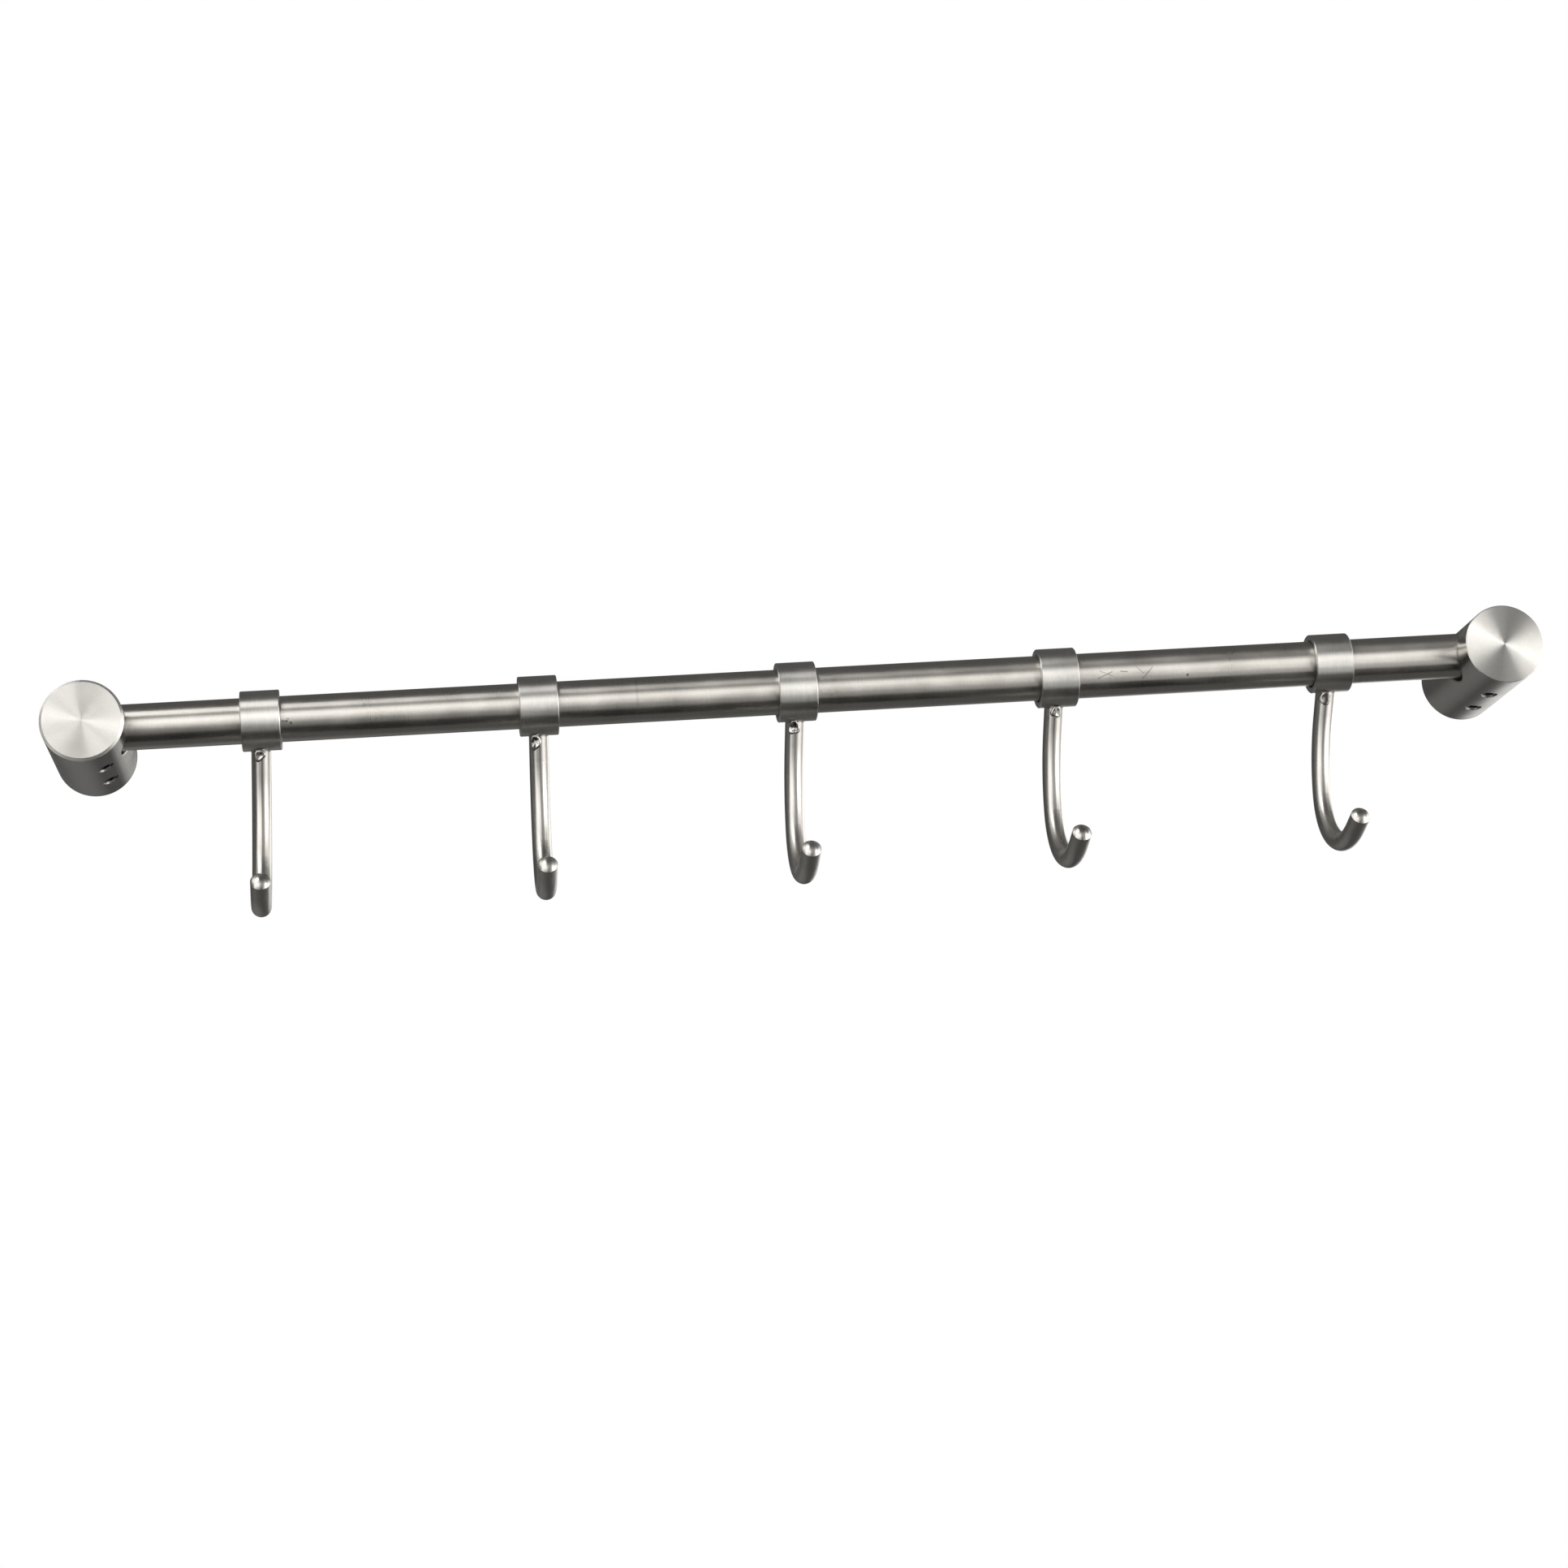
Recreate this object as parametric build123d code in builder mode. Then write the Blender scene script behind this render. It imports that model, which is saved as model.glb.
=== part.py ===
"""Wall-mounted hook rail: a round tube between two turned end posts, with wire hooks on loose rings.

Millimetres. X runs along the rail, +Y points into the wall, +Z is up.
The origin lies on the wall's face, midway between the two wall screws.
"""

import os
from math import cos, radians, sin

from build123d import *

os.makedirs("parts", exist_ok=True)

# Rail tube
rail_diameter = 16.0
rail_wall = 1.2
rail_end_bevel = 0.3

# End posts, turned from round bar
post_spacing = 500.0
post_diameter = 28.5
post_length = 55.0
post_back_bevel = 0.3
left_face_bevel = 0.9
right_face_bevel = 0.3

# Cross hole that takes the rail's end, behind the post's front face
rail_setback = 18.5
rail_socket_diameter = 17.0
rail_socket_rise = 0.75
rail_socket_edge_radius = 0.5
rail_socket_overrun = 3.5
rail_end_gap = 0.5
roof_clearance = 0.05

# Wall boss inside each post, and the groove that its grub screw bites in
boss_diameter = 16.0
boss_length = 24.0
boss_clearance = 0.15
boss_front_gap = 0.5
boss_edge_bevel = 0.5
boss_groove_setback = 6.0
boss_groove_depth = 0.8
boss_groove_width = 6.6
wall_hole_diameter = 5.0
wall_hole_head_diameter = 10.0
wall_hole_head_angle = 90.0

# Grub screws in each post's underside: the front one clamps the rail, the rear one the wall boss
grub_diameter = 6.0
grub_clearance = 0.05
grub_recess = 0.5
grub_bevel = 0.6
grub_seat_gap = 0.02
grub_hole_bevel = 0.3
hex_across_flats = 3.0
hex_depth = 3.0
left_grub_angle = 25.5
right_grub_angle = 7.5

# Hooks, from left to right: place along the rail, lean along the rail, and twist towards it.
# Each wire was welded on by hand, so each one stands a little off square.
hook_places = (-190.5, -94.5, -3.5, 90.0, 190.0)
hook_lean_angles = (2.4, 1.6, 3.2, 3.4, 4.9)
hook_twist_angles = (1.8, 0.0, 1.1, 2.2, 2.7)

# Ring of each hook
ring_diameter = 21.0
ring_bore = 17.0
ring_width = 13.5
ring_bevel = 0.25
ring_top_gap = 0.3

# Wire of each hook, from its weld down the shank, round the bend and up the tip
wire_diameter = 6.8
weld_clearance = 0.1
root_angle = 23.0
root_length = 8.7
shank_radius = 53.3
shank_angle = 31.8
bend_radius = 25.2
bend_angle = 106.0
tip_length = 6.7
tip_dome = 1.6

# Heights and depths that follow from these
post_radius = post_diameter / 2
rail_radius = rail_diameter / 2
rail_y = rail_setback - post_length
rail_play = rail_socket_diameter - rail_diameter
rail_lift = rail_socket_rise + rail_play / 2 - roof_clearance
post_x = post_spacing / 2
rail_end_x = post_x + rail_socket_overrun
ring_z = rail_lift + rail_radius + ring_top_gap - ring_bore / 2
boss_groove_radius = boss_diameter / 2 - boss_groove_depth
boss_groove_out = boss_length - boss_groove_setback
wall_grub_setback = post_length - boss_groove_out
cope_radius = ring_diameter / 2 + weld_clearance


def wall_plane(x, out=0.0):
    """Plane parallel to the wall, standing out from it at a place along the rail."""
    return Plane((x, -out, 0), x_dir=(0, 0, 1), z_dir=(0, -1, 0))


def cross_plane(x, z=0.0, facing=1):
    """Plane across the rail's run, at the rail's distance from the wall."""
    return Plane((x, rail_y, z), x_dir=(0, 1, 0), z_dir=(facing, 0, 0))


def grub_plane(side, setback, angle):
    """Plane that touches the post's barrel where a grub screw goes in, facing outwards."""
    turn = radians(angle)
    outward = Vector(-side * sin(turn), 0, -cos(turn))
    axis_point = Vector(side * post_x, setback - post_length, 0)
    return Plane(axis_point + outward * post_radius, x_dir=(0, 1, 0), z_dir=outward)


def rail_grub_reach(angle):
    """Distance from the post's axis at which the tilted tip meets the underside of the rail."""
    turn = radians(angle)
    tip_radius = grub_diameter / 2 - grub_bevel
    underside = rail_radius - rail_lift
    return (underside + grub_seat_gap + tip_radius * sin(turn)) / cos(turn)


def make_rail_tube():
    """One length of round tube, its ends inside the posts."""
    with BuildPart() as tube:
        with BuildSketch(cross_plane(0, rail_lift)):
            Circle(rail_radius)
            Circle(rail_radius - rail_wall, mode=Mode.SUBTRACT)
        extrude(amount=rail_end_x, both=True)
        ends = tube.faces().filter_by(GeomType.PLANE)
        chamfer([end.outer_wire().edge() for end in ends], rail_end_bevel)
    return tube


def make_post(side, face_bevel, grub_angle):
    """Turned bar with a cross hole for the rail, a rear bore for its boss and two tapped holes."""
    with BuildPart() as post:
        with BuildSketch(wall_plane(side * post_x)):
            Circle(post_radius)
        extrude(amount=post_length)
        chamfer(post.faces().sort_by(Axis.Y)[0].edges(), face_bevel)
        chamfer(post.faces().sort_by(Axis.Y)[-1].edges(), post_back_bevel)

        socket_end = side * (rail_end_x + rail_end_gap)
        with BuildSketch(cross_plane(socket_end, rail_socket_rise, facing=-side)):
            Circle(rail_socket_diameter / 2)
        extrude(amount=post_diameter, mode=Mode.SUBTRACT)
        socket_edges = post.edges(Select.LAST).filter_by(GeomType.LINE, reverse=True)
        fillet(socket_edges.sort_by(Axis.X)[-1 if side < 0 else 0], rail_socket_edge_radius)

        with BuildSketch(wall_plane(side * post_x)):
            Circle(boss_diameter / 2 + boss_clearance)
        extrude(amount=boss_length + boss_front_gap, mode=Mode.SUBTRACT)

        with Locations(
            grub_plane(side, rail_setback, grub_angle),
            grub_plane(side, wall_grub_setback, grub_angle),
        ):
            CounterSinkHole(
                radius=grub_diameter / 2,
                counter_sink_radius=grub_diameter / 2 + grub_hole_bevel,
                depth=post_radius,
                counter_sink_angle=90,
            )
    return post


def make_wall_boss(side):
    """Round plug held to the wall by one countersunk screw, grooved for the post's grub screw."""
    with BuildPart() as boss:
        with BuildSketch(wall_plane(side * post_x)):
            Circle(boss_diameter / 2)
        extrude(amount=boss_length)
        chamfer(boss.faces().sort_by(Axis.Y)[0].edges(), boss_edge_bevel)

        with BuildSketch(wall_plane(side * post_x, boss_groove_out)):
            Circle(boss_diameter / 2)
            Circle(boss_groove_radius, mode=Mode.SUBTRACT)
        extrude(amount=boss_groove_width / 2, both=True, mode=Mode.SUBTRACT)

        with Locations(wall_plane(side * post_x, boss_length)):
            CounterSinkHole(
                radius=wall_hole_diameter / 2,
                counter_sink_radius=wall_hole_head_diameter / 2,
                counter_sink_angle=wall_hole_head_angle,
            )
    return boss


def make_grub_screw(side, setback, angle, reach):
    """Headless screw with a hexagon socket, from just under the barrel down to its seat."""
    mouth = grub_plane(side, setback, angle).offset(-grub_recess)
    length = post_radius - grub_recess - reach
    with BuildPart() as screw:
        with BuildSketch(mouth):
            Circle(grub_diameter / 2 - grub_clearance)
        extrude(amount=-length)
        chamfer(screw.edges().filter_by(GeomType.CIRCLE), grub_bevel - grub_clearance)
        with BuildSketch(mouth):
            RegularPolygon(hex_across_flats / 2, 6, major_radius=False)
        extrude(amount=-hex_depth, mode=Mode.SUBTRACT)
    return screw


def make_hook_ring(place):
    """Short plain sleeve that hangs on the rail."""
    with BuildPart() as ring:
        with BuildSketch(cross_plane(place, ring_z)):
            Circle(ring_diameter / 2)
            Circle(ring_bore / 2, mode=Mode.SUBTRACT)
        extrude(amount=ring_width / 2, both=True)
        chamfer(ring.edges().filter_by(GeomType.CIRCLE), ring_bevel)
    return ring


def make_hook_wire(place, lean, twist):
    """Round wire bent in one plane, coped to its ring at the top and domed at its tip."""
    bend_plane = cross_plane(place, ring_z).rotated((0, lean, twist))
    with BuildPart() as wire:
        with BuildLine(bend_plane) as centre_line:
            root = PolarLine((0, 0), ring_diameter / 2 + root_length, root_angle - 90)
            shank = JernArc(root @ 1, root % 1, shank_radius, -shank_angle)
            bend = JernArc(shank @ 1, shank % 1, bend_radius, -bend_angle)
            tip = PolarLine(bend @ 1, tip_length, direction=bend % 1)
        with BuildSketch(Plane(origin=root @ 0, z_dir=root % 0)):
            Circle(wire_diameter / 2)
        sweep(path=centre_line.line)

        with BuildSketch(Plane(origin=tip @ 1, x_dir=tip % 1, z_dir=bend_plane.z_dir)):
            with BuildLine():
                TangentArc((tip_dome, 0), (0, wire_diameter / 2), tangent=(0, 1))
                Polyline((0, wire_diameter / 2), (0, 0), (tip_dome, 0))
            make_face()
        revolve(axis=Axis(tip @ 1, tip % 1))

        with BuildSketch(cross_plane(place - ring_width, ring_z)):
            Circle(cope_radius)
        extrude(amount=2 * ring_width, mode=Mode.SUBTRACT)
    return wire


def save(piece, name):
    """Label a finished piece and write it to its own file."""
    piece.part.label = name
    export_step(piece.part, f"parts/{name}.step")


save(make_rail_tube(), "rail_tube")

for name, side, face_bevel, grub_angle in (
    ("left", -1, left_face_bevel, left_grub_angle),
    ("right", 1, right_face_bevel, right_grub_angle),
):
    save(make_post(side, face_bevel, grub_angle), f"{name}_post")
    save(make_wall_boss(side), f"{name}_wall_boss")
    rail_screw = make_grub_screw(side, rail_setback, grub_angle, rail_grub_reach(grub_angle))
    save(rail_screw, f"{name}_rail_screw")
    wall_reach = boss_groove_radius + grub_seat_gap
    wall_screw = make_grub_screw(side, wall_grub_setback, grub_angle, wall_reach)
    save(wall_screw, f"{name}_wall_screw")

for number, (place, lean, twist) in enumerate(zip(hook_places, hook_lean_angles, hook_twist_angles), start=1):
    save(make_hook_ring(place), f"hook_ring_{number}")
    save(make_hook_wire(place, lean, twist), f"hook_wire_{number}")
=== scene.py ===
"""Studio scene of the hook rail: steel materials, weld seams, camera and light.

Metres. X runs along the rail, +Y points into the wall, +Z is up.
"""

from math import cos, hypot, pi, radians, sin, sqrt

import bmesh
import bpy
from mathutils import Matrix, Vector


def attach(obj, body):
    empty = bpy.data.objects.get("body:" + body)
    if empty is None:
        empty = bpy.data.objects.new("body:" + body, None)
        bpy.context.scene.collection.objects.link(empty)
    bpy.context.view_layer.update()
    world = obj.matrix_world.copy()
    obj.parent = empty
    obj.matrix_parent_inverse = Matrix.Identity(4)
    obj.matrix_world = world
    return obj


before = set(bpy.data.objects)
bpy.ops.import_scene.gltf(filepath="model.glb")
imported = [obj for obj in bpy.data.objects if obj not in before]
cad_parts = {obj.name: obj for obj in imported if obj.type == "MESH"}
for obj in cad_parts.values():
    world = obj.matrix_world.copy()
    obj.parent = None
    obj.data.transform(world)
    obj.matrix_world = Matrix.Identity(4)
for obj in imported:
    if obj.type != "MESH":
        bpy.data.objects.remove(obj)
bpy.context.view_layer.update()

# Camera as the photograph was taken: focal length in the photograph's pixels, turns in degrees
photo_side = 1932
focal_pixels = 4084.15
camera_place = (-0.14898, -1.16374, -0.28342)
camera_yaw = -7.013
camera_pitch = 12.481
camera_roll = 4.796

# Hooks: where each ring hangs, and how far each wire leans and twists off square, in degrees
hook_places = (-0.1905, -0.0945, -0.0035, 0.0900, 0.1900)
hook_leans = (2.4, 1.6, 3.2, 3.4, 4.9)
hook_twists = (1.8, 0.0, 1.1, 2.2, 2.7)
rail_axis_y = -0.0365
ring_axis_z = 0.0010
ring_radius = 0.0105
wire_radius = 0.0034
wire_root_angle = 23.0

# Words in the pieces' names that tell their kind. A screw's name also tells where it sits.
piece_kinds = ("screw", "tube", "post", "boss", "ring", "wire")

# Weld bead round each wire's coped end: how far it sinks into the wire and stands off the ring,
# as shares of its radius
bead_radius = 0.00022
bead_sink = 0.40
bead_rise = 0.35
bead_steps = 96

# Weld crater on each wire's front: turn from the front in degrees, half its length,
# half its width, and the height of its rim
weld_craters = (
    (-10.0, 0.0021, 0.0021, 0.00030),
    (-24.0, 0.0030, 0.0020, 0.00040),
    (-12.0, 0.0027, 0.0022, 0.00050),
    (4.0, 0.0022, 0.0020, 0.00022),
    (-14.0, 0.0026, 0.0025, 0.00012),
)

# Height of each crater's middle, how far it lies below the ring in half lengths, and how far the
# crater sinks into the wire. The rim's power sets how near the edge the rim stands, and the lobes
# how uneven the edge is, and how uneven the rim is in broad and in fine steps.
crater_middle_height = 0.00006
crater_drop = 0.78
crater_sink = 0.00002
crater_rim_power = 2.2
crater_edge_lobes = 0.14
crater_rim_lobes = (0.35, 0.12)
crater_rings = 12
crater_spokes = 48

# Studio
white = (1.0, 1.0, 1.0, 1.0)
world_strength = 0.45
floor_height = -1.20
floor_size = 14.0
floor_grey = (0.88, 0.88, 0.88, 1.0)
floor_glow = 0.6
room_radius = 3.0
room_colour = (1.0, 0.985, 0.965, 1.0)
room_light = 0.115

# The room is darker below the rail: bottom and top of that band, and their softness, in degrees
room_below = (-95.0, -52.0, 8.0, 22.0)
room_light_below = 0.02

# Bright windows in degrees seen from the rail. Heights run from the front over the top, and sides
# from left to right: bottom, top, left, right, softness of the bottom, top and sides, strength.
windows = (
    (-18.0, 24.0, -54.0, -8.0, 40.0, 26.0, 12.0, 2.50),
    (-56.0, -14.0, -60.0, -34.0, 12.0, 20.0, 10.0, 0.80),
    (28.0, 96.0, -60.0, -34.0, 20.0, 20.0, 10.0, 2.00),
    (41.0, 67.0, -34.0, -14.0, 14.0, 12.0, 10.0, 5.80),
    (-12.0, 26.0, -8.0, 35.0, 44.0, 26.0, 10.0, 0.65),
    (-30.0, 22.0, 35.0, 95.0, 20.0, 26.0, 10.0, 4.40),
    (-54.0, -20.0, 16.0, 44.0, 12.0, 14.0, 12.0, 0.80),
    (26.0, 166.0, 62.0, 95.0, 20.0, 14.0, 10.0, 2.20),
    (-100.0, -36.0, 46.0, 95.0, 20.0, 16.0, 12.0, 1.60),
    (-190.0, -100.0, 66.0, 95.0, 10.0, 20.0, 10.0, 1.20),
    (-190.0, 190.0, -95.0, -57.0, 10.0, 10.0, 10.0, 0.06),
)

# Soft round patches of light: direction from the rail, inner and outer angle in degrees, strength
patches = (
    ((0.50, 0.86, -0.02), 8.0, 22.0, 1.0),
    ((0.76, 0.61, 0.22), 8.0, 20.0, 2.2),
    ((-0.10, -0.98, 0.14), 4.0, 14.0, 0.4),
    ((-0.35, 0.82, -0.45), 8.0, 26.0, 0.15),
)

# Steel colours
tube_tint = (0.640, 0.618, 0.580)
plain_tint = (0.70, 0.69, 0.66)
wire_tint = (0.52, 0.508, 0.482)
weld_tint = (0.52, 0.50, 0.48)
# Screw colour, darkened well below the steel's own as painted shade for the dark screw holes
screw_painted_shade_tint = (0.16, 0.155, 0.15)

# Cells in a metre of steel, for fine mottle, broad smudges and the places where a pit may lie
mottle_cells = 1600.0
smudge_cells = 70.0
pit_cells = 150.0

# How dark mottle, smudges and pits get, and how far the roughness strays
mottle_darkest = 0.93
smudge_darkest = 0.94
pit_depth = 0.75
rough_spread = 0.15

# Noise lies mostly between 0.3 and 0.7, and these parts of it are stretched to the full range
marks_range = (0.30, 0.72)
mottle_range = (0.30, 0.70)
smudge_range = (0.35, 0.70)
uneven_range = (0.35, 0.65)

# Share of the brush marks in the uneven roughness. Smudges make up the rest.
marks_share = 0.35

# Edge of a pit from its inside out, as shares of a cell, and how ragged it is
pit_edge = (0.055, 0.10)
pit_ragged = 0.05

# How squarely a post's surface faces the front where its barrel ends and where its face starts
face_range = (0.45, 0.68)

# Dark scratches on the rail's front: from x and z to x and z, width, and how dark
tube_scratches = (
    (-0.1832, -0.0014, -0.1811, -0.0015, 0.00055, 0.95),
    (-0.1814, -0.0007, -0.1805, -0.0008, 0.00035, 0.65),
    (-0.1803, -0.0018, -0.1798, -0.0026, 0.00060, 0.85),
    (-0.0601, 0.0070, -0.0601, -0.0030, 0.00100, 0.16),
    (0.1037, -0.0020, 0.1091, 0.0002, 0.00034, 0.60),
    (0.1045, 0.0006, 0.1095, -0.0014, 0.00030, 0.50),
    (0.1120, 0.0002, 0.1147, -0.0001, 0.00034, 0.70),
    (0.1180, 0.0014, 0.1204, -0.0010, 0.00030, 0.50),
    (0.1199, -0.0028, 0.1239, 0.0012, 0.00035, 0.60),
    (0.1360, -0.0023, 0.1367, -0.0022, 0.00075, 0.95),
)

# A scratch breaks up where the mottle is low: range of the mottle, and the share that is left
scratch_breaks = (0.35, 0.55)
scratch_faintest = 0.35


# Helpers

class Nodes:
    """Adds shader nodes to one node tree and links them."""

    def __init__(self, tree):
        self.tree = tree
        tree.nodes.clear()

    def feed(self, socket, value):
        """Link a socket, or set it to a plain value."""
        if isinstance(value, bpy.types.NodeSocket):
            self.tree.links.new(value, socket)
        else:
            socket.default_value = value

    def add(self, kind, inputs=(), **settings):
        """Add a node with its settings, and feed its inputs by name or by number."""
        node = self.tree.nodes.new(kind)
        for name, value in settings.items():
            setattr(node, name, value)
        for name, value in dict(inputs).items():
            self.feed(node.inputs[name], value)
        return node

    def math(self, operation, *values):
        """Result of an operation on numbers."""
        return self.add("ShaderNodeMath", enumerate(values), operation=operation).outputs[0]

    def vector(self, operation, *values):
        """Results of an operation on vectors."""
        return self.add("ShaderNodeVectorMath", enumerate(values), operation=operation).outputs

    def split(self, vector):
        """The three parts of a vector."""
        return self.add("ShaderNodeSeparateXYZ", {0: vector}).outputs

    def ramp(self, value, low, high, out_low=0.0, out_high=1.0, smooth=True):
        """Map a value from one range to another and clamp it there."""
        node = self.add(
            "ShaderNodeMapRange",
            {
                "Value": value,
                "From Min": low,
                "From Max": high,
                "To Min": out_low,
                "To Max": out_high,
            },
            interpolation_type="SMOOTHSTEP" if smooth else "LINEAR",
        )
        return node.outputs[0]

    def blend(self, share, start, end):
        """Go evenly from start to end as a share goes from zero to one."""
        return self.ramp(share, 0.0, 1.0, start, end, smooth=False)

    def dim(self, tint, mask, depth):
        """Darken a tint by a depth where a mask is one."""
        return self.math("MULTIPLY", tint, self.blend(mask, 1.0, 1.0 - depth))

    def band(self, value, low, high, low_soft, high_soft):
        """One between low and high, falling off smoothly over the two soft edges."""
        rise = self.ramp(value, low - low_soft / 2, low + low_soft / 2)
        fall = self.ramp(value, high - high_soft / 2, high + high_soft / 2, 1.0, 0.0)
        return self.math("MULTIPLY", rise, fall)

    def noise(self, vector, cells, detail, roughness):
        """Soft random pattern with so many cells in a metre."""
        settings = {"Vector": vector, "Scale": cells, "Detail": detail, "Roughness": roughness}
        return self.add("ShaderNodeTexNoise", settings).outputs[0]


def new_material(name):
    """Empty material, and the helper that adds its nodes."""
    material = bpy.data.materials.new(name)
    material.use_nodes = True
    return material, Nodes(material.node_tree)


def add_object(name, data):
    """New object in the scene."""
    thing = bpy.data.objects.new(name, data)
    bpy.context.scene.collection.objects.link(thing)
    return thing


# Camera and stage

def make_camera():
    """Camera at the photograph's place, turned as the photograph was taken."""
    data = bpy.data.cameras.new("camera")
    data.sensor_fit = "HORIZONTAL"
    data.sensor_width = 36.0
    data.lens = data.sensor_width * focal_pixels / photo_side
    data.clip_start = 0.01
    data.clip_end = 50.0
    camera = add_object("camera", data)
    turn = (
        Matrix.Rotation(radians(camera_yaw), 3, "Z")
        @ Matrix.Rotation(radians(camera_pitch), 3, "X")
        @ Matrix.Rotation(radians(camera_roll), 3, "Y")
    )
    right, forward, up = turn.col
    basis = Matrix((right, up, -forward)).transposed()
    camera.matrix_world = Matrix.Translation(camera_place) @ basis.to_4x4()
    bpy.context.scene.camera = camera


def make_world():
    """White behind the object, and a plain soft light from all round."""
    world = bpy.data.worlds.new("studio")
    bpy.context.scene.world = world
    world.use_nodes = True
    nodes = Nodes(world.node_tree)
    path = nodes.add("ShaderNodeLightPath").outputs
    seen = nodes.math("MAXIMUM", path["Is Camera Ray"], path["Is Glossy Ray"])
    seen = nodes.math("MAXIMUM", seen, path["Is Transmission Ray"])
    strength = nodes.blend(seen, world_strength, 1.0)
    background = nodes.add("ShaderNodeBackground", {"Color": white, "Strength": strength})
    nodes.add("ShaderNodeOutputWorld", {"Surface": background.outputs[0]})


def make_room():
    """Dark room with bright windows and soft patches of light, which only reflections see."""
    mesh = bpy.data.meshes.new("studio_room")
    shape = bmesh.new()
    bmesh.ops.create_icosphere(shape, subdivisions=4, radius=room_radius)
    shape.to_mesh(mesh)
    shape.free()
    room = add_object("studio_room", mesh)
    material, nodes = new_material("studio_room")
    place = nodes.add("ShaderNodeTexCoord").outputs["Object"]
    towards = nodes.vector("NORMALIZE", place)["Vector"]
    x, y, z = nodes.split(towards)
    front = nodes.math("MULTIPLY", y, -1.0)
    height = nodes.math("DEGREES", nodes.math("ARCTAN2", z, front))
    aside = nodes.math("DEGREES", nodes.math("ARCSINE", x))

    light = nodes.blend(nodes.band(height, *room_below), room_light, room_light_below)
    for bottom, top, left, right, bottom_soft, top_soft, side_soft, strength in windows:
        upright = nodes.band(height, bottom, top, bottom_soft, top_soft)
        across = nodes.band(aside, left, right, side_soft, side_soft)
        window = nodes.math("MULTIPLY", upright, across)
        light = nodes.math("MULTIPLY_ADD", window, strength, light)
    for direction, inner, outer, strength in patches:
        nearness = nodes.vector("DOT_PRODUCT", towards, Vector(direction).normalized())["Value"]
        patch = nodes.ramp(nearness, cos(radians(outer)), cos(radians(inner)))
        light = nodes.math("MULTIPLY_ADD", patch, strength, light)
    emission = nodes.add("ShaderNodeEmission", {"Color": room_colour, "Strength": light})
    nodes.add("ShaderNodeOutputMaterial", {"Surface": emission.outputs[0]})
    mesh.materials.append(material)
    room.visible_camera = False
    room.visible_diffuse = False
    room.visible_shadow = False
    room.visible_transmission = False


def make_floor():
    """Plain pale floor, well below the rail."""
    mesh = bpy.data.meshes.new("floor")
    half = floor_size / 2
    sides = ((-half, -half), (half, -half), (half, half), (-half, half))
    mesh.from_pydata([(x, y, floor_height) for x, y in sides], [], [(0, 1, 2, 3)])
    floor = add_object("floor", mesh)
    material, nodes = new_material("floor")
    camera_ray = nodes.add("ShaderNodeLightPath").outputs["Is Camera Ray"]
    paint = nodes.add("ShaderNodeBsdfDiffuse", {"Color": floor_grey})
    glow = nodes.add("ShaderNodeEmission", {"Color": white})
    share = nodes.math("MULTIPLY", camera_ray, floor_glow)
    mix = nodes.add("ShaderNodeMixShader", {0: share, 1: paint.outputs[0], 2: glow.outputs[0]})
    nodes.add("ShaderNodeOutputMaterial", {"Surface": mix.outputs[0]})
    mesh.materials.append(material)
    floor.visible_glossy = False


def make_lamp(name, place, target, size, power):
    """Large soft lamp, aimed at a point."""
    data = bpy.data.lights.new(name, "AREA")
    data.shape = "RECTANGLE"
    data.size, data.size_y = size
    data.energy = power
    lamp = add_object(name, data)
    lamp.location = place
    aim = Vector(target) - Vector(place)
    lamp.rotation_euler = aim.to_track_quat("-Z", "Y").to_euler()
    lamp.visible_camera = False
    lamp.visible_glossy = False


# Steel

def add_pits(nodes, tint, place, mottle, share):
    """Darken small ragged spots in a share of the cells."""
    cells = nodes.add("ShaderNodeTexVoronoi", {"Vector": place, "Scale": pit_cells})
    chance = nodes.add("ShaderNodeSeparateColor", {0: cells.outputs["Color"]}).outputs[0]
    chosen = nodes.ramp(chance, 1.0 - share, 1.0 - share + 0.001)
    ragged = nodes.math("MULTIPLY_ADD", mottle, pit_ragged, cells.outputs["Distance"])
    spot = nodes.math("MULTIPLY", chosen, nodes.ramp(ragged, *pit_edge, 1.0, 0.0))
    return nodes.dim(tint, spot, pit_depth)


def add_scratches(nodes, tint, place, mottle, scratches):
    """Darken thin broken lines on the side of the rail that faces away from the wall."""
    front = nodes.math("LESS_THAN", nodes.split(place)["Y"], rail_axis_y)
    broken = nodes.ramp(mottle, *scratch_breaks, scratch_faintest, 1.0)
    for start_x, start_z, end_x, end_z, width, depth in scratches:
        length = hypot(end_x - start_x, end_z - start_z)
        run = ((end_x - start_x) / length, 0.0, (end_z - start_z) / length)
        side = (run[2], 0.0, -run[0])
        past = nodes.vector("SUBTRACT", place, (start_x, 0.0, start_z))["Vector"]
        along = nodes.vector("DOT_PRODUCT", past, run)["Value"]
        beside = nodes.math("ABSOLUTE", nodes.vector("DOT_PRODUCT", past, side)["Value"])
        line = nodes.math(
            "MULTIPLY",
            nodes.band(along, 0.0, length, width, width),
            nodes.ramp(beside, 0.0, width, 1.0, 0.0),
        )
        dark = nodes.math("MULTIPLY", line, nodes.math("MULTIPLY", front, broken))
        tint = nodes.dim(tint, dark, depth)
    return tint


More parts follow.
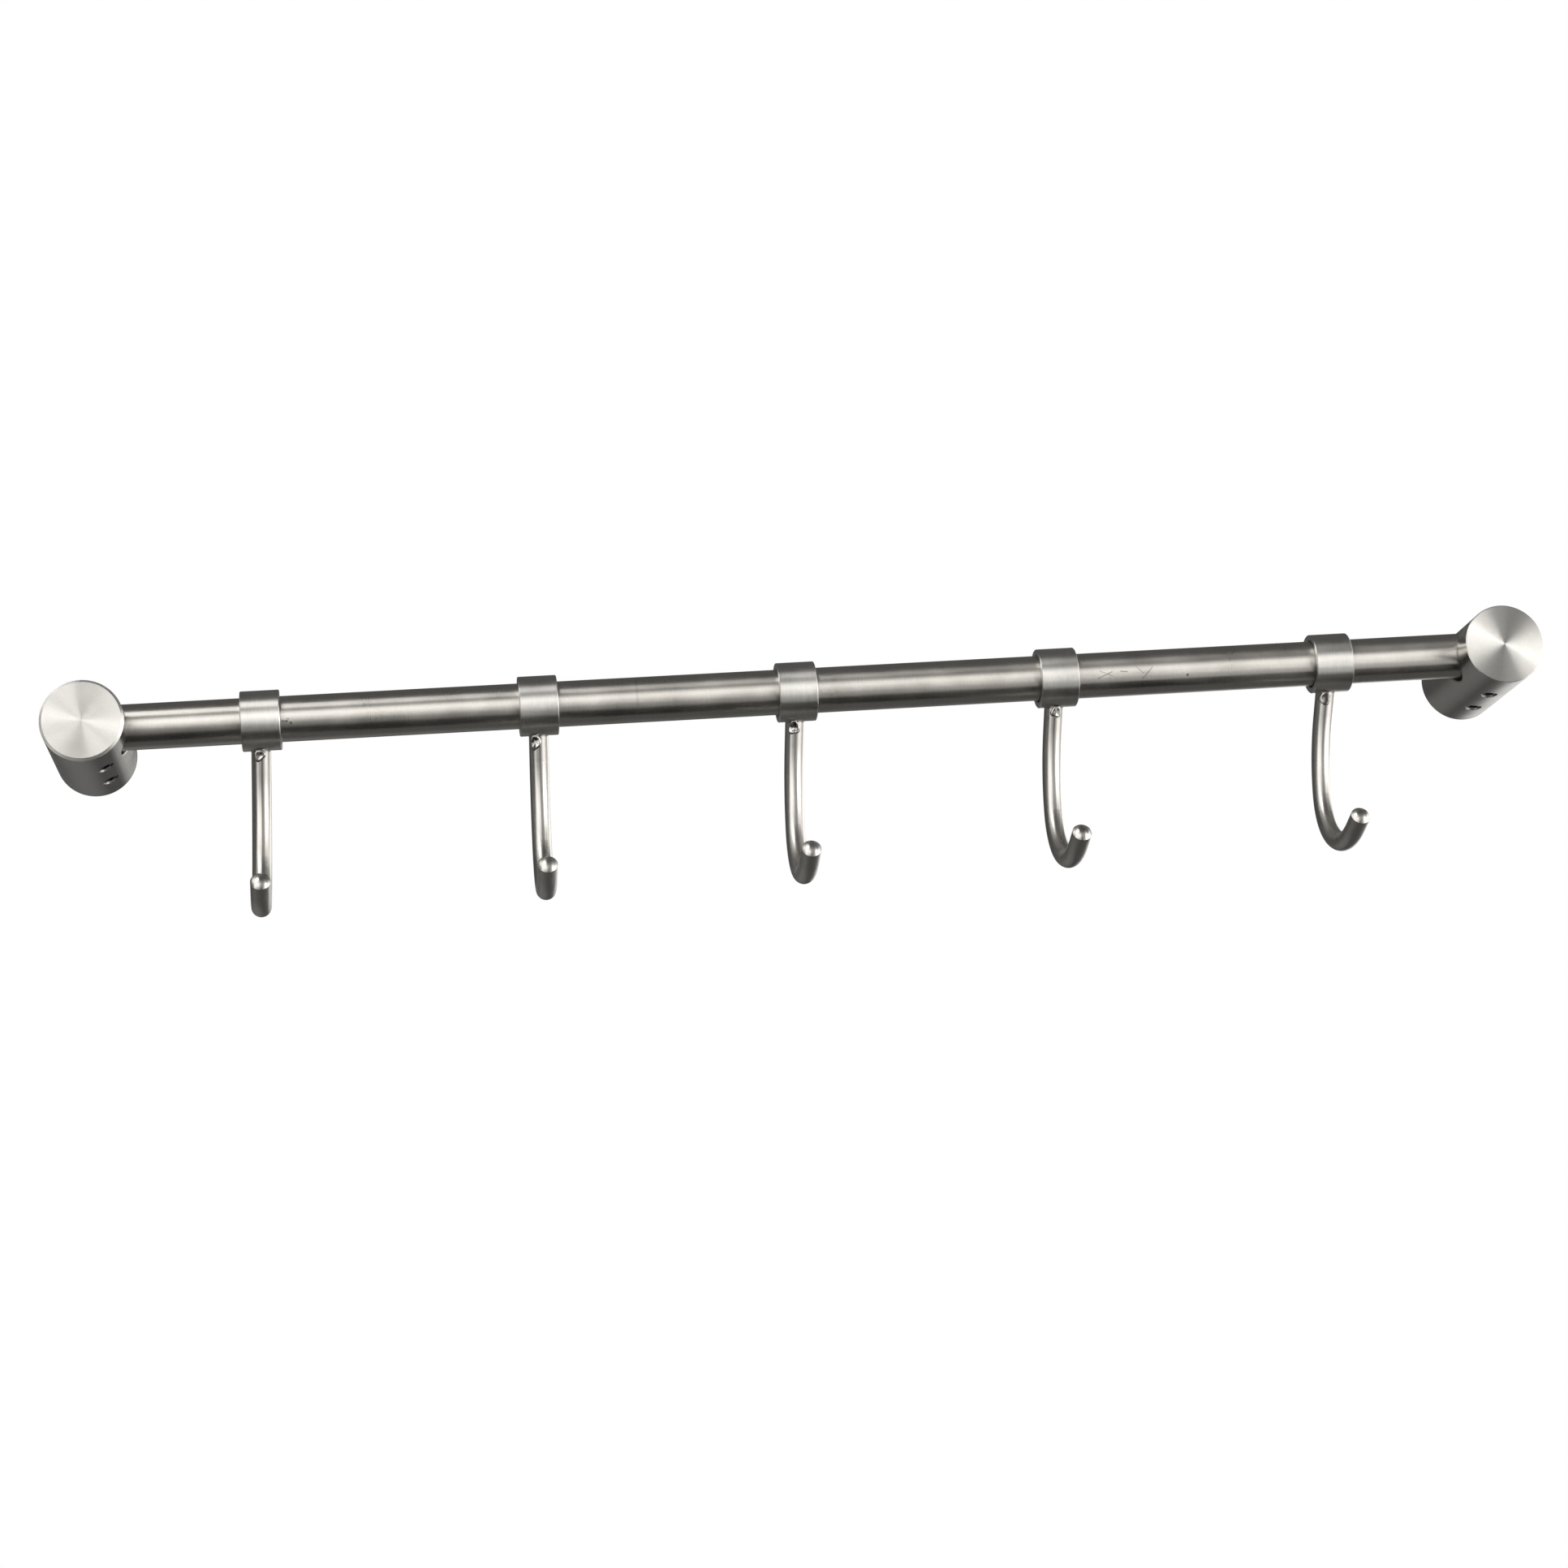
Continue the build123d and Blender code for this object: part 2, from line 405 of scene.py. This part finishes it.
def turn_marks(nodes, shader, around, strength):
    """Spread the shine across marks that run round an axis, or round the bent wire."""
    shader.inputs["Anisotropic"].default_value = strength
    if around == "WIRE":
        normal = nodes.add("ShaderNodeNewGeometry").outputs["Normal"]
        tangent = nodes.vector("CROSS_PRODUCT", (1.0, 0.0, 0.0), normal)["Vector"]
    else:
        # A quarter turn lays the tangent along the axis, as it lies along the wire
        shader.inputs["Anisotropic Rotation"].default_value = 0.25
        tangent = nodes.add("ShaderNodeTangent", direction_type="RADIAL", axis=around).outputs[0]
    nodes.feed(shader.inputs["Tangent"], tangent)


def steel(
    name, colour, rough, grain, grain_sizes, bump, mottle_bump=0.4,
    turning=None, pits=0.0, barrel_rough=1.0, barrel_painted_shade=1.0, scratches=(),
):
    """Brushed or polished steel, with grain stretched along a direction, smudges and fine pits.

    The grain sizes are those of one brush mark along X, Y and Z, in metres.
    Turning names the axis that the marks run round, or the bent wire, and how strongly they
    spread light. The barrel's shares tell how smooth a post's side is, next to its face, and how
    far its colour is darkened there as painted shade.
    """
    material, nodes = new_material(name)
    space = nodes.add("ShaderNodeTexCoord").outputs
    place = space["Object"]
    stretched = nodes.add(
        "ShaderNodeMapping", {"Vector": place, "Scale": [1.0 / size for size in grain_sizes]}
    )
    marks = nodes.noise(stretched.outputs[0], cells=1.0, detail=3.0, roughness=0.65)
    mottle = nodes.noise(place, mottle_cells, detail=2.0, roughness=0.6)
    smudge = nodes.noise(place, smudge_cells, detail=3.0, roughness=0.55)

    tint = nodes.ramp(marks, *marks_range, 1.0 - grain, 1.0, smooth=False)
    if mottle_bump:
        fine = nodes.ramp(mottle, *mottle_range, mottle_darkest, 1.0, smooth=False)
        tint = nodes.math("MULTIPLY", tint, fine)
    tint = nodes.math("MULTIPLY", tint, nodes.ramp(smudge, *smudge_range, smudge_darkest, 1.0))
    if pits:
        tint = add_pits(nodes, tint, place, mottle, pits)
    if scratches:
        tint = add_scratches(nodes, tint, place, mottle, scratches)

    smudged = nodes.math("MULTIPLY", smudge, 1.0 - marks_share)
    uneven = nodes.math("MULTIPLY_ADD", marks, marks_share, smudged)
    roughest = rough * (1.0 + rough_spread)
    smoothest = rough * (1.0 - rough_spread)
    roughness = nodes.ramp(uneven, *uneven_range, smoothest, roughest, smooth=False)
    if barrel_rough < 1.0:
        facing = nodes.math("ABSOLUTE", nodes.split(space["Normal"])["Y"])
        face = nodes.ramp(facing, *face_range, smooth=False)
        roughness = nodes.math("MULTIPLY", roughness, nodes.blend(face, barrel_rough, 1.0))
        # Painted shade: the barrel's colour is darkened next to the brighter face
        tint = nodes.math("MULTIPLY", tint, nodes.blend(face, barrel_painted_shade, 1.0))

    coloured = nodes.add("ShaderNodeVectorMath", {0: colour, "Scale": tint}, operation="SCALE")
    height = nodes.math("MULTIPLY_ADD", mottle, mottle_bump, marks)
    relief = nodes.add("ShaderNodeBump", {"Strength": 1.0, "Distance": bump, "Height": height})
    shader = nodes.add(
        "ShaderNodeBsdfPrincipled",
        {
            "Metallic": 1.0,
            "Base Color": coloured.outputs[0],
            "Roughness": roughness,
            "Normal": relief.outputs[0],
        },
    )
    if turning:
        turn_marks(nodes, shader, *turning)
    nodes.add("ShaderNodeOutputMaterial", {"Surface": shader.outputs[0]})
    return material


materials = {
    "tube": steel(
        "tube_steel", tube_tint, rough=0.316, grain=0.10,
        grain_sizes=(0.0003, 0.004, 0.004), bump=6e-6, mottle_bump=0.8,
        turning=("X", 0.83), pits=0.03, scratches=tube_scratches,
    ),
    "post": steel(
        "post_steel", plain_tint, rough=0.37, grain=0.10,
        grain_sizes=(0.004, 0.0003, 0.004), bump=5e-6,
        turning=("Y", 1.0), barrel_rough=0.45, barrel_painted_shade=0.75,
    ),
    "boss": steel(
        "boss_steel", plain_tint, rough=0.24, grain=0.12,
        grain_sizes=(0.004, 0.0003, 0.004), bump=6e-6,
    ),
    "ring": steel(
        "ring_steel", plain_tint, rough=0.34, grain=0.12,
        grain_sizes=(0.0003, 0.004, 0.004), bump=5e-6, mottle_bump=0.6,
        turning=("X", 0.83), pits=0.01,
    ),
    "wire": steel(
        "wire_steel", wire_tint, rough=0.30, grain=0.06,
        grain_sizes=(0.001, 0.012, 0.012), bump=5e-7, mottle_bump=0.0,
        turning=("WIRE", 0.75),
    ),
    "weld": steel(
        "weld_steel", weld_tint, rough=0.10, grain=0.20,
        grain_sizes=(0.0008, 0.0008, 0.0008), bump=2e-5,
    ),
    "screw": steel(
        "screw_steel", screw_painted_shade_tint, rough=0.30, grain=0.10,
        grain_sizes=(0.001, 0.001, 0.001), bump=4e-6,
    ),
}


def dress(name, node):
    """Give a CAD node the finish of its kind, which its name tells."""
    kind = next(word for word in piece_kinds if word in name)
    for slot in node.material_slots:
        slot.link = "OBJECT"
        slot.material = materials[kind]


# Welds

def wire_frame(place, lean, twist):
    """Ring centre, and the directions along the wire's root, to its right and to its front."""
    centre = Vector((place, rail_axis_y, ring_axis_z))
    down = radians(wire_root_angle - 90.0)
    turn = Matrix.Rotation(radians(twist), 3, "Z") @ Matrix.Rotation(radians(lean), 3, "Y")
    along = turn @ Vector((0.0, cos(down), sin(down)))
    beside = turn @ Vector((1.0, 0.0, 0.0))
    return centre, along, beside, along.cross(beside)


def reach_ring(along, rim, radius):
    """Distance along the root at which a line on the wire's surface meets the ring's barrel."""
    a = along.y ** 2 + along.z ** 2
    b = along.y * rim.y + along.z * rim.z
    c = rim.y ** 2 + rim.z ** 2 - radius ** 2
    return (sqrt(b * b - a * c) - b) / a


def add_weld(name, data, number):
    """Put a weld on its wire, so that it moves with it."""
    data.materials.append(materials["weld"])
    thing = add_object(name, data)
    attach(thing, f"wire_{number}")


def make_bead(number, place, lean, twist):
    """Fine seam where the wire meets its ring: a thin bead round the coped end."""
    centre, along, beside, across = wire_frame(place, lean, twist)
    name = f"weld_bead_{number}"
    curve = bpy.data.curves.new(name, "CURVE")
    curve.dimensions = "3D"
    curve.bevel_depth = bead_radius
    curve.bevel_resolution = 3
    spline = curve.splines.new("POLY")
    spline.points.add(bead_steps - 1)
    spline.use_cyclic_u = True
    for step, point in enumerate(spline.points):
        angle = 2.0 * pi * step / bead_steps
        outward = beside * cos(angle) + across * sin(angle)
        rim = outward * (wire_radius - bead_sink * bead_radius)
        reach = reach_ring(along, rim, ring_radius + bead_rise * bead_radius)
        point.co = (*(centre + rim + along * reach), 1.0)
    add_weld(name, curve, number)


def make_crater(number, place, lean, twist, crater):
    """Shallow uneven crater of weld metal, on the wire's front just below the ring."""
    centre, along, beside, across = wire_frame(place, lean, twist)
    turn, half_length, half_width, rim_height = crater
    broad, fine = crater_rim_lobes

    def on_wire(share, spoke):
        """Point of the crater at a share of the way out, along one spoke."""
        angle = 2.0 * pi * spoke / crater_spokes
        spread = share * (1.0 + crater_edge_lobes * sin(3.0 * angle + number))
        around = radians(turn) + spread * half_width * cos(angle) / wire_radius
        outward = beside * sin(around) + across * cos(around)
        uneven = 1.0 + broad * sin(2.0 * angle + 1.7 * number) + fine * sin(5.0 * angle + number)
        rim = rim_height * uneven * sin(pi * share ** crater_rim_power)
        height = rim + crater_middle_height * (1.0 - share) - crater_sink
        top = reach_ring(along, outward * wire_radius, ring_radius)
        slide = top + half_length * (crater_drop - spread * sin(angle))
        return centre + along * slide + outward * (wire_radius + height)

    shape = bmesh.new()
    middle = shape.verts.new(on_wire(0.0, 0))
    rows = [
        [shape.verts.new(on_wire(ring / crater_rings, spoke)) for spoke in range(crater_spokes)]
        for ring in range(1, crater_rings + 1)
    ]
    for spoke in range(crater_spokes):
        following = (spoke + 1) % crater_spokes
        shape.faces.new((middle, rows[0][spoke], rows[0][following]))
        for inner, outer in zip(rows, rows[1:]):
            shape.faces.new((inner[spoke], outer[spoke], outer[following], inner[following]))
    bmesh.ops.recalc_face_normals(shape, faces=shape.faces)
    for face in shape.faces:
        face.smooth = True
    name = f"weld_pool_{number}"
    mesh = bpy.data.meshes.new(name)
    shape.to_mesh(mesh)
    shape.free()
    add_weld(name, mesh, number)


# Scene

for name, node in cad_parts.items():
    dress(name, node)

hooks = zip(hook_places, hook_leans, hook_twists, weld_craters)
for number, (place, lean, twist, crater) in enumerate(hooks, start=1):
    make_bead(number, place, lean, twist)
    make_crater(number, place, lean, twist, crater)

make_camera()
make_world()
make_room()
make_floor()
make_lamp("front_lamp", (-0.6, -2.4, 0.9), target=(0.0, 0.0, -0.1), size=(2.0, 1.4), power=70.0)
make_lamp("top_lamp", (0.3, -0.4, 2.4), target=(0.0, 0.0, 0.0), size=(2.0, 2.0), power=40.0)
bpy.context.scene.view_settings.view_transform = "Standard"
